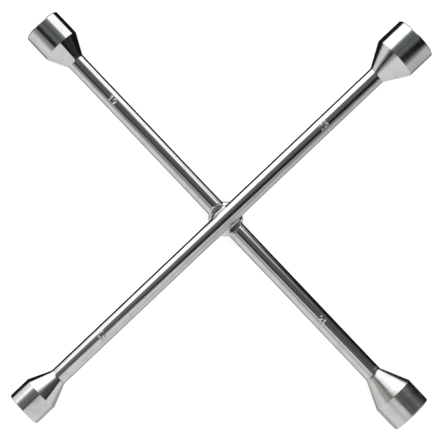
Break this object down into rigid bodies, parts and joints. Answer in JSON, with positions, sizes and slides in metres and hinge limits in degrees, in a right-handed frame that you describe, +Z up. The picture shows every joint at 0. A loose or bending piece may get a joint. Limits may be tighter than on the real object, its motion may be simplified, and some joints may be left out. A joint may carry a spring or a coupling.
{
  "type": "four-way lug wrench",
  "caption": "Cross-shaped wheel-nut wrench: two chrome-plated round bars welded at right angles, a tapered hexagon socket on each end.",
  "frame": {"origin": "centre of the underside of the box that just holds the wrench, on the plane under the lowest socket", "axes": "+X along the upper bar towards its 23 mm socket, +Y along the lower bar towards its 19 mm socket, +Z up"},
  "size_m": [0.406, 0.406, 0.0445],
  "materials": {
    "bar_chrome": "polished bright plating with fine polishing marks along the bar",
    "socket_chrome": "turned, polished and plated, duller inside the hexagon",
    "weld_chrome": "plated weld metal, smooth and slightly rippled"
  },
  "bodies": {
    "root": {"front_bar": "bar_chrome", "rear_bar": "bar_chrome", "socket_17mm": "socket_chrome", "socket_19mm": "socket_chrome", "socket_21mm": "socket_chrome", "socket_23mm": "socket_chrome", "socket_weld_17": "weld_chrome", "socket_weld_19": "weld_chrome", "socket_weld_21": "weld_chrome", "socket_weld_23": "weld_chrome", "centre_weld_19_side": "weld_chrome", "centre_weld_21_side": "weld_chrome"}
  },
  "joints": []
}
